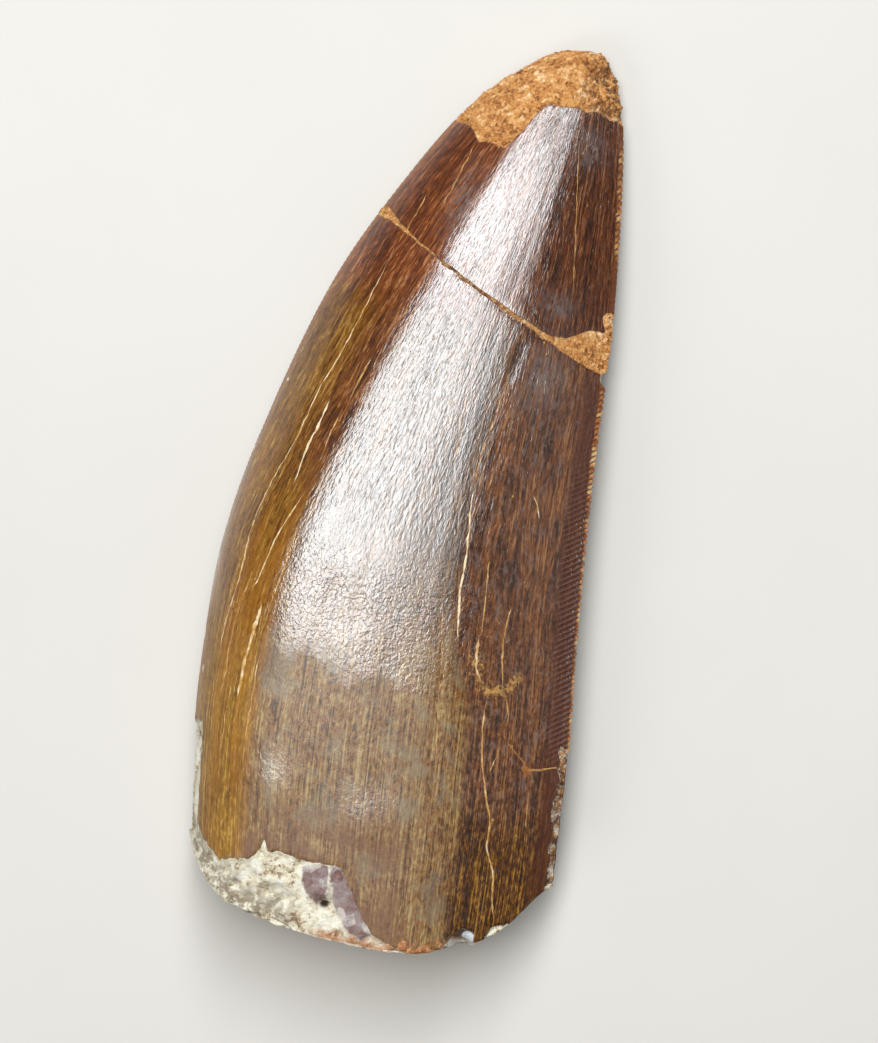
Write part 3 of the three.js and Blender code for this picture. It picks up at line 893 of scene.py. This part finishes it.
# Where a tint starts and where it is full: millimetres along or across the crown, or the value of a cloud or
# mark. Two more numbers are its strength at those ends, where that is not 0 and 1
zones = {
    "high": (13.0, 20.0),
    "low": (-4.0, -23.0),
    "amber": (-27.0, -34.0),
    "rearFrom": (-10.0, -24.0, 5.2, 7.8),
    "rear": (0.0, 1.4),
    "flank": (-8.2, -9.8),
    "redAcross": (-14.5, -11.5),
    "redAlong": (-9.0, 2.0, 0.0, 0.8),
    "grey": (0.5, 0.64, 0.0, 0.5),
    "mauve": (0.5, 0.66, 0.0, 0.6),
    "blushAlong": (-32.5, -36.5),
    "blushCloud": (0.42, 0.6, 0.2, 0.75),
    "blushAcross": (6.0, 3.0),
    "glow": (0.48, 0.6, 0.0, 0.38),
    "glowAlong": (8.0, -6.0, 0.2, 1.0),
    "dimFlank": (-2.0, 12.0),
    "paleFlank": (-16.0, -24.0),
    "crimsonRear": (1.0, 7.0),
    "crimsonFront": (-4.0, -9.0),
    "stain": (0.52, 0.7),
    "crackWidth": (0.35, 0.6, 0.5, 1.3),
    "crack": (0.03, -0.04),
    "freckle": (0.06, 0.02),
    "freckleAcross": (4.0, 6.5),
    "sawBand": (3.2, 1.6),
    "sawBandAlong": (17.0, 12.0, 0.15, 0.75),
    "crest": (0.45, 0.9),
    "sawWide": (-3.0, 6.0, 0.26, 0.5),
    "sawEdge": (0.12, -0.12),
    "sawPoint": (0.2, 0.8),
    "frontEdge": (0.6, 0.05),
    "nicks": (0.6, 0.66),
    "nicksEdge": (0.7, 0.4),
    "nicksAlong": (12.0, 6.0),
    "web": (0.4, -0.6, 0.0, 0.8),
    "haze": (0.36, 0.6),
    "pits": (0.46, 0.56),
    "grime": (0.38, 0.56),
    "crumbs": (0.4, 0.55, 0.5, 1.0),
    "plateRim": (0.2, 0.0, 0.0, 0.5),
    "pulp": (0.35, 0.65),
    "pore": (0.35, 0.8),
    "rusty": (0.0, 0.4),
    "sheen": (0.3, 0.7, 0.2, 0.3),
    "dullLow": (-18.2, -22.4, 0.0, 0.2),        # less polished toward the root
    "coatLow": (-18.4, -21.8, 1.0, 0.06),
    "coatFront": (-11.5, -7.5, 0.1, 1.0),       # the flat middle of the face is the most polished
    "coatRear": (5.0, 8.0, 1.0, 0.45),
    "hide": (-3.0, -12.0),
    "wrinkleLow": (-12.0, -24.0, 0.155, 0.09),
    "wrinkleHigh": (12.0, 24.0, 1.0, 0.7),
    "wrinkleRear": (5.0, 8.0, 1.0, 1.6),
}

# Half the width of the soft edge round each mark, and how far the ripple shakes other edges
softEdge = {"crust": 0.12, "bared": 0.06, "fill": 0.06, "plate": 0.14, "flake": 0.1, "quartz": 0.1,
            "scar": 0.12, "rearWear": 0.3}
shake = {"bend": 0.6, "crack": 0.25, "freckle": 0.5, "sawBand": 3.0, "sawEdge": 1.8, "frontEdge": 2.0,
         "nicks": 1.6, "plateRim": 2.4, "pulp": 2.0, "pore": 0.8, "gloss": 5.0}

# A cloud is turned into a measure by a gain and a start
gains = {"ripple": (0.3, -0.15), "sway": (1.8, -0.9), "drift": (6.0, -3.0), "gloss": (7.0, -3.5)}
streakShares = (("pin", 0.34), ("fine", 0.26), ("broad", 0.16), ("fleck", 0.24))
lineShares = (("fine", 0.24), ("fleck", 0.4), ("lines", 0.36))
streakSpread = (0.42, 0.58)
driftShare = {"low": 1.8, "rear": 0.2, "flank": 0.3}

bareStone = {
    "fineScale": 2.4,
    "plateScale": 0.9,
    "warpScale": 1.5,          # scales of the warp, dust and patches against the grains
    "dustScale": 1.4,
    "patchScale": 0.2,
    "warp": 0.5,
    "dust": (4.0, 0.7),        # detail and roughness
    "patch": (3.0, 0.6),
    "grainShare": 0.22,
    "dustShare": 0.78,         # shared between dust and patches
    "patchy": 0.34,
    "dentinePatchy": 0.5,
    "spread": (0.37, 0.63),
}

finish = {
    "freckleScale": 0.42,
    "sawSpread": (0.38, 0.62),
    "webGain": -6.0,
    "webFade": 1.1,            # the stained web fades away from its line
    "webStart": 2.75,
    "crackGain": 1.1,
    "crackStart": -0.6,
    "rustGain": 2.4,
    "rustStart": -1.75,
    "hardShine": 0.5,          # plates and quartz are half as dull as other bare stone
    "stoneRough": 0.82,
    "glossLean": 0.15,
    "swellCoat": 0.9,
    "sheenPatchCoat": 0.8,
    "bumpDistance": 0.0003,
    "ior": 1.55,
    "coatIor": 1.6,
    "coatRough": 0.17,
}


def enamelColour(b, growth, across, along):
    sway = b.calc("MULTIPLY_ADD", b.drawnOut("sway", growth), *gains["sway"])
    swayed = b.add("ShaderNodeVectorMath", {0: growth, 1: b.add("ShaderNodeCombineXYZ", {"X": sway})})
    clouds = {name: b.drawnOut(name, swayed) for name in ("broad", "fine", "pin", "fleck")}
    clouds["lines"] = b.drawnOut("lines", growth)
    mottle = b.even("mottle", growth)
    drift = b.calc("MULTIPLY_ADD", mottle, *gains["drift"])
    drifted = b.calc("ADD", along, drift)
    low = b.zone("low", b.calc("MULTIPLY_ADD", drift, driftShare["low"], along))
    rearFrom = b.calc("SUBTRACT", across, b.zone("rearFrom", along))
    rear = b.zone("rear", b.calc("MULTIPLY_ADD", drift, driftShare["rear"], rearFrom))
    flank = b.zone("flank", b.calc("MULTIPLY_ADD", drift, driftShare["flank"], across))
    streak, lines = (b.spread(b.weigh(clouds, shares), *streakSpread)
                     for shares in (streakShares, lineShares))
    lined = b.blend(low, streak, lines)
    tone = {name: b.tones(lined, stops) for name, stops in enamelTones.items()}

    # middle of the face and the rear slope
    # painted sheen: grey patches over the lower face stand in for its patchy sheen
    grey = b.zone("grey", b.drawnOut("grey", growth))
    colour = b.mix(low, tone["middle"], b.mix(grey, tone["low"], tints["grey"]))
    # painted sheen: grey-mauve flecks over the rear slope stand in for its wrinkled sheen
    mauve = b.zone("mauve", b.drawnOut("mauve", swayed))
    dark = b.mix(mauve, tone["rear"], tints["mauve"])
    colour = b.mix(rear, colour, b.mix(b.zone("amber", drifted), dark, tone["lowRear"]))
    blush = b.calc("MULTIPLY", b.zone("blushAlong", drifted), b.zone("blushCloud", mottle))
    blush = b.calc("MULTIPLY", blush, b.zone("blushAcross", across))
    colour = b.mix(blush, colour, tints["blush"])

    # front flank
    glow = b.calc("MULTIPLY", b.zone("glow", b.drawnOut("glow", swayed)), b.zone("glowAlong", along))
    side = b.mix(glow, tone["flank"], tints["glow"])
    side = b.mix(b.zone("dimFlank", along), side, tints["dimFlank"], "MULTIPLY")
    redBand = b.calc("MULTIPLY", b.zone("redAcross", across), b.zone("redAlong", drifted))
    colour = b.mix(flank, colour, b.mix(redBand, side, tone["upper"]))
    pale = b.calc("MULTIPLY", flank, b.zone("paleFlank", along))
    colour = b.mix(pale, colour, tints["paleFlank"], "ADD")

    # above the old break
    crimson = b.mix(b.zone("crimsonRear", across), tone["upper"], tints["crimsonRear"], "MULTIPLY")
    crimson = b.mix(b.zone("crimsonFront", across), crimson, tints["crimsonFront"], "ADD")
    colour = b.mix(b.zone("high", drifted), colour, crimson)
    stain = b.zone("stain", b.drawnOut("stain", growth))
    return b.mix(b.calc("MULTIPLY", stain, strength["stain"]), colour, tints["stain"], "MULTIPLY")


def stoneGrain(b, spot, scale):        # grains, dust and broad patches of bare stone
    warp = b.add("ShaderNodeTexNoise", {"Vector": spot, "Scale": scale * bareStone["warpScale"]}, 1)
    bent = b.add("ShaderNodeVectorMath", {0: spot, 1: b.stretched(warp, (bareStone["warp"],) * 3)})
    grains = b.add("ShaderNodeTexVoronoi", {"Vector": bent, "Scale": scale}, 1)
    dust = b.cloud(spot, scale * bareStone["dustScale"], *bareStone["dust"])
    patches = b.cloud(spot, scale * bareStone["patchScale"], *bareStone["patch"])
    return grains, dust, patches


def stoneColour(b, grain, stops, patchy):
    grains, dust, patches = grain
    dusty = b.calc("MULTIPLY", dust, bareStone["dustShare"] - patchy)
    both = b.calc("MULTIPLY_ADD", grains, bareStone["grainShare"], dusty)
    return b.tones(b.spread(b.calc("MULTIPLY_ADD", patches, patchy, both), *bareStone["spread"]), stops)


def stoneColours(b, spot):
    fineGrain, plateGrain = (stoneGrain(b, spot, bareStone[name]) for name in ("fineScale", "plateScale"))
    stone = {}
    for name, stops in stoneTones.items():
        patchy = bareStone["dentinePatchy" if name == "dentine" else "patchy"]
        stone[name] = stoneColour(b, plateGrain if name == "plate" else fineGrain, stops, patchy)
    return stone


def toothMasks(b):        # where each mark lies, its edges shaken by a fine ripple
    growth = b.mark("growth", "Vector")
    spot = b.stretched(b.add("ShaderNodeTexCoord", {}, "Object"), (1 / mm,) * 3)
    across, along = (b.add("ShaderNodeSeparateXYZ", {0: growth}, out) for out in (0, 1))
    ripple = b.calc("MULTIPLY_ADD", b.even("ripple", spot), *gains["ripple"])

    def inside(name):
        return b.fade(b.calc("ADD", b.mark(name), ripple), -softEdge[name], softEdge[name])

    def shaken(name, value):
        return b.calc("MULTIPLY_ADD", ripple, shake[name], value)

    bend = shaken("bend", b.mark("bend"))
    fillLow, fillHigh = b.calc("ADD", bend, b.mark("fillLow")), b.calc("SUBTRACT", b.mark("fillHigh"), bend)
    fill = b.fade(b.calc("MINIMUM", fillLow, fillHigh), -softEdge["fill"], softEdge["fill"])
    crackGap = b.calc("ABSOLUTE", shaken("crack", b.mark("crack")))
    crackWide = b.calc("MULTIPLY", b.mark("crackShow"), b.zone("crackWidth", b.even("crackWidth", growth)))
    crack = b.zone("crack", b.calc("SUBTRACT", crackGap, crackWide))
    names = ("crust", "bared", "plate", "flake", "quartz", "scar", "rearWear")
    return SimpleNamespace(growth=growth, spot=spot, across=across, along=along, shaken=shaken, fill=fill,
                           crack=crack, speckle=b.even("speckle", spot),
                           **{name: inside(name) for name in names})


def enamelMarks(b, m, colour):        # saw edges, stains and cracks on the enamel, with painted highlights on the saw ridge crests and patches of painted sheen
    freckle = b.add("ShaderNodeTexVoronoi", {"Vector": m.growth, "Scale": finish["freckleScale"]})
    freckle = b.zone("freckle", m.shaken("freckle", freckle))
    colour = b.tinted(colour, "freckle", b.calc("MULTIPLY", freckle, b.zone("freckleAcross", m.across)))
    sawBand = b.zone("sawBand", m.shaken("sawBand", b.mark("rearGap")))
    colour = b.mix(b.calc("MULTIPLY", sawBand, b.zone("sawBandAlong", m.along)), colour, tints["sawBand"])
    # painted highlight: the crests of the saw ridges are tinted pale
    colour = b.tinted(colour, "crest", b.calc("MULTIPLY", b.mark("ridges"), b.zone("crest", b.mark("wave"))))
    points = b.tones(b.spread(b.even("sawPoints", m.spot), *finish["sawSpread"]), markTones["sawPoints"])
    sawEdge = b.calc("SUBTRACT", m.shaken("sawEdge", b.mark("rearGap")), b.zone("sawWide", m.along))
    sawTone = b.mix(b.zone("sawPoint", b.mark("teeth")), tints["gullet"], points)
    colour = b.mix(b.calc("MULTIPLY", b.zone("sawEdge", sawEdge), strength["sawEdge"]), colour, sawTone)
    colour = b.tinted(colour, "frontEdge", b.zone("frontEdge", m.shaken("frontEdge", b.mark("frontGap"))))
    nicks = b.zone("nicks", b.even("nicks", m.spot))
    nicks = b.calc("MULTIPLY", b.zone("nicksEdge", m.shaken("nicks", b.mark("frontGap"))), nicks)
    colour = b.mix(b.calc("MULTIPLY", nicks, b.zone("nicksAlong", m.along)), colour, tints["nicks"])
    # painted shadow: the flaked patch is darkened as the shade along its step, which is also sunk a little
    colour = b.tinted(colour, "flake", m.flake)
    web = b.calc("MULTIPLY_ADD", b.mark("web"), finish["webFade"], finish["webStart"])
    web = b.calc("MULTIPLY_ADD", b.even("web", m.spot), finish["webGain"], web)
    colour = b.mix(b.zone("web", web), colour, tints["web"])
    colour = b.tinted(colour, "scar", m.scar)
    shade = b.calc("ADD", b.mark("crackTone"), finish["crackStart"])
    shade = b.calc("MULTIPLY_ADD", b.even("crackShade", m.growth), finish["crackGain"], shade)
    colour = b.mix(m.crack, colour, b.tones(shade, markTones["cracks"]))
    # painted sheen: soft grey patches tinted over the enamel in place of reflections
    haze = b.calc("MULTIPLY", b.mark("films"), b.zone("haze", b.drawnOut("haze", m.growth)))
    return b.tinted(colour, "haze", haze)


def stoneMarks(b, m, colour):        # sandy crust and filling, bared dentine with its plates, pores and rust, with painted shade in the crust's pits and painted highlights on the plate rims
    stone = stoneColours(b, m.spot)
    # painted shade: dark speckles on the ragged tip crust stand in for shade in its pits
    sandy = b.tinted(stone["sandy"], "pits", b.calc("MULTIPLY", b.mark("ragged"), b.zone("pits", m.speckle)))
    colour = b.mix(m.fill, colour, b.mix(b.mark("fillSandy"), stone["groove"], stone["sandy"]))
    wall = b.mix(b.mark("rust"), stone["dentine"], stone["rust"])
    wall = b.tinted(wall, "grime", b.calc("MULTIPLY", b.mark("grime"), b.zone("grime", m.speckle)))
    crumbs = b.zone("crumbs", m.speckle)
    crumbled = b.mix(crumbs, stone["plate"], stone["groove"])
    wall = b.mix(b.calc("MULTIPLY", m.rearWear, crumbs), wall, crumbled)
    # painted highlight: a cream rim along the edges of the smooth plates
    plateRim = b.zone("plateRim", m.shaken("plateRim", b.mark("plate")))
    wall = b.mix(m.plate, wall, b.mix(plateRim, stone["plate"], tints["plateRim"]))
    wall = b.mix(b.zone("pulp", m.shaken("pulp", b.mark("pulp"))), wall, stone["sandy"])
    wall = b.mix(b.zone("pore", m.shaken("pore", b.mark("pit"))), wall, tints["pore"])
    wall = b.tinted(wall, "notch", b.mark("notch"))
    wall = b.mix(m.quartz, wall, tints["quartz"])
    rusty = b.calc("ADD", b.mark("rust"), finish["rustStart"])
    rusty = b.zone("rusty", b.calc("MULTIPLY_ADD", m.speckle, finish["rustGain"], rusty))
    colour = b.mix(b.calc("MULTIPLY", rusty, strength["rusty"]), colour, stone["rust"])
    colour = b.mix(m.bared, colour, wall)
    return b.mix(m.crust, colour, sandy)


def toothFinish(b, m):        # glassy enamel with a leathery skin, dull stone
    hard = b.calc("MAXIMUM", b.calc("MULTIPLY", m.plate, m.bared), b.calc("MULTIPLY", m.quartz, m.bared))
    dull = b.calc("MAXIMUM", b.calc("MAXIMUM", m.crust, m.bared), m.fill)
    dull = b.calc("SUBTRACT", dull, b.calc("MULTIPLY", hard, finish["hardShine"]))
    patchy = b.calc("MULTIPLY_ADD", b.even("gloss", m.growth), *gains["gloss"])
    glossEnd = m.shaken("gloss", b.calc("ADD", m.along, patchy))
    glossEnd = b.calc("MULTIPLY_ADD", m.across, finish["glossLean"], glossEnd)
    sheen = b.calc("ADD", b.zone("sheen", b.even("sheen", m.growth)), b.zone("dullLow", glossEnd))
    rough = b.blend(dull, sheen, finish["stoneRough"])
    leather, hide = (b.drawnOut(name, m.growth) for name in ("leather", "hide"))
    leather = b.blend(b.zone("hide", m.along), leather, hide)
    wrinkled = b.calc("MULTIPLY", b.zone("wrinkleLow", m.along), b.zone("wrinkleHigh", m.along))
    wrinkled = b.calc("MULTIPLY", wrinkled, b.zone("wrinkleRear", m.across))
    height = b.blend(dull, b.calc("MULTIPLY", leather, wrinkled), b.even("pores", m.spot))
    bump = b.add("ShaderNodeBump", {"Height": height, "Strength": 1.0, "Distance": finish["bumpDistance"]})
    coat = b.calc("MULTIPLY", b.zone("coatFront", m.across), b.zone("coatRear", m.across))
    coat = b.calc("MULTIPLY", coat, b.zone("coatLow", glossEnd))
    coat = b.calc("MAXIMUM", coat, b.calc("MULTIPLY", b.mark("swells"), finish["swellCoat"]))
    # the patches of painted sheen also carry more coat
    coat = b.calc("MAXIMUM", coat, b.calc("MULTIPLY", b.mark("films"), finish["sheenPatchCoat"]))
    coat = b.calc("MULTIPLY", coat, b.calc("SUBTRACT", 1.0, dull))
    return {"Roughness": rough, "Normal": bump, "Coat Normal": bump, "Coat Weight": coat}


def toothMaterial():
    material = bpy.data.materials.new("fossilEnamel")
    material.use_nodes = True
    b = brushes(material)
    m = toothMasks(b)
    colour = enamelColour(b, m.growth, m.across, m.along)
    colour = stoneMarks(b, m, enamelMarks(b, m, colour))
    shader = material.node_tree.nodes["Principled BSDF"]
    for name, socket in {"Base Color": colour, **toothFinish(b, m)}.items():
        material.node_tree.links.new(socket, shader.inputs[name])
    shader.inputs["IOR"].default_value = finish["ior"]
    shader.inputs["Coat Roughness"].default_value = finish["coatRough"]
    shader.inputs["Coat IOR"].default_value = finish["coatIor"]
    return material


tooth = makeTooth()
tooth.data.materials.append(toothMaterial())
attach(tooth, "root")
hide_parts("tooth")
print("tooth finished")

# Floor, light and camera
studio = {
    "floorSize": 2.4,
    "floorColour": (0.6, 0.57, 0.53),
    "floorDrop": 0.00003,      # just clear of the resting flats
    "floorCells": 4,
    "paperCloud": (30.0, 3.0),
    "paperShade": 0.97,
    "paperStops": (0.3, 0.7),
    "paperRough": 0.9,
    # name: place, size and power of each soft light, and whether it looks straight down
    "lights": {"keyLight": ((-0.12, 0.135, 0.6), (0.2, 0.43), 3.05, True),
               "tipLight": ((-0.12, 0.635, 0.6), (0.2, 0.57), 5.6, True),
               "innerFill": ((0.02, 0.3, 0.6), (0.08, 0.66), 0.6, True),
               "edgeFill": ((0.11, 0.3, 0.6), (0.1, 0.6), 0.4, True),
               "rootFill": ((-0.03, -0.2, 0.6), (0.3, 0.26), 0.2, True),
               "frontFill": ((-0.35, -0.6, 0.5), (0.4, 0.4), 2.05, False),
               "rearFill": ((0.6, 0.12, 0.4), (0.3, 0.5), 0.18, False)},
    "lightColour": (0.95, 0.985, 1.0),
    "worldColour": (1.0, 0.98, 0.95, 1),
    "world": 0.06,
    "lean": 15,                # degrees that the tooth leans in the picture
    "distance": 0.36,
    "edgeHeight": 0.006,
    "aim": (0.00004, -0.0037),
    "frameHeight": 0.1043,
    "film": 36,
}


def makeFloor():
    bm = bmesh.new()
    cells = studio["floorCells"]
    bmesh.ops.create_grid(bm, x_segments=cells, y_segments=cells, size=studio["floorSize"] / 2)
    bmesh.ops.translate(bm, verts=bm.verts, vec=(0, 0, -studio["floorDrop"]))
    mesh = bpy.data.meshes.new("studioFloor")
    bm.to_mesh(mesh)
    bm.free()
    floor = bpy.data.objects.new("studioFloor", mesh)
    bpy.context.collection.objects.link(floor)
    paper = bpy.data.materials.new("palePaper")
    paper.use_nodes = True
    b = brushes(paper)
    coords = b.add("ShaderNodeTexCoord", {}, "Object")
    shade = b.cloud(coords, *studio["paperCloud"])
    pale = studio["floorColour"]
    shaded = tuple(c * studio["paperShade"] for c in pale)
    stops = list(zip(studio["paperStops"], (shaded, pale)))
    shader = paper.node_tree.nodes["Principled BSDF"]
    paper.node_tree.links.new(b.tones(shade, stops), shader.inputs["Base Color"])
    shader.inputs["Roughness"].default_value = studio["paperRough"]
    mesh.materials.append(paper)


def softLight(name, place, size, power, level):
    light = bpy.data.lights.new(name, "AREA")
    light.shape = "RECTANGLE"
    light.size, light.size_y = size
    light.energy = power
    light.color = studio["lightColour"]
    lamp = bpy.data.objects.new(name, light)
    lamp.location = place
    if not level:
        lamp.rotation_euler = lamp.location.to_track_quat("Z", "Y").to_euler()
    bpy.context.collection.objects.link(lamp)


def makeCamera():
    lens = bpy.data.cameras.new("camera")
    lens.lens = studio["film"] * studio["distance"] / studio["frameHeight"]
    lens.sensor_width = studio["film"]
    camera = bpy.data.objects.new("camera", lens)
    camera.location = (*studio["aim"], studio["distance"] + studio["edgeHeight"])
    camera.rotation_euler = (0, 0, math.radians(studio["lean"]))
    bpy.context.collection.objects.link(camera)
    bpy.context.scene.camera = camera


makeFloor()
for name, settings in studio["lights"].items():
    softLight(name, *settings)
world = bpy.data.worlds.new("studio")
world.use_nodes = True
world.node_tree.nodes["Background"].inputs[0].default_value = studio["worldColour"]
world.node_tree.nodes["Background"].inputs[1].default_value = studio["world"]
bpy.context.scene.world = world
bpy.context.scene.view_settings.view_transform = "Standard"
makeCamera()
print("studio set")
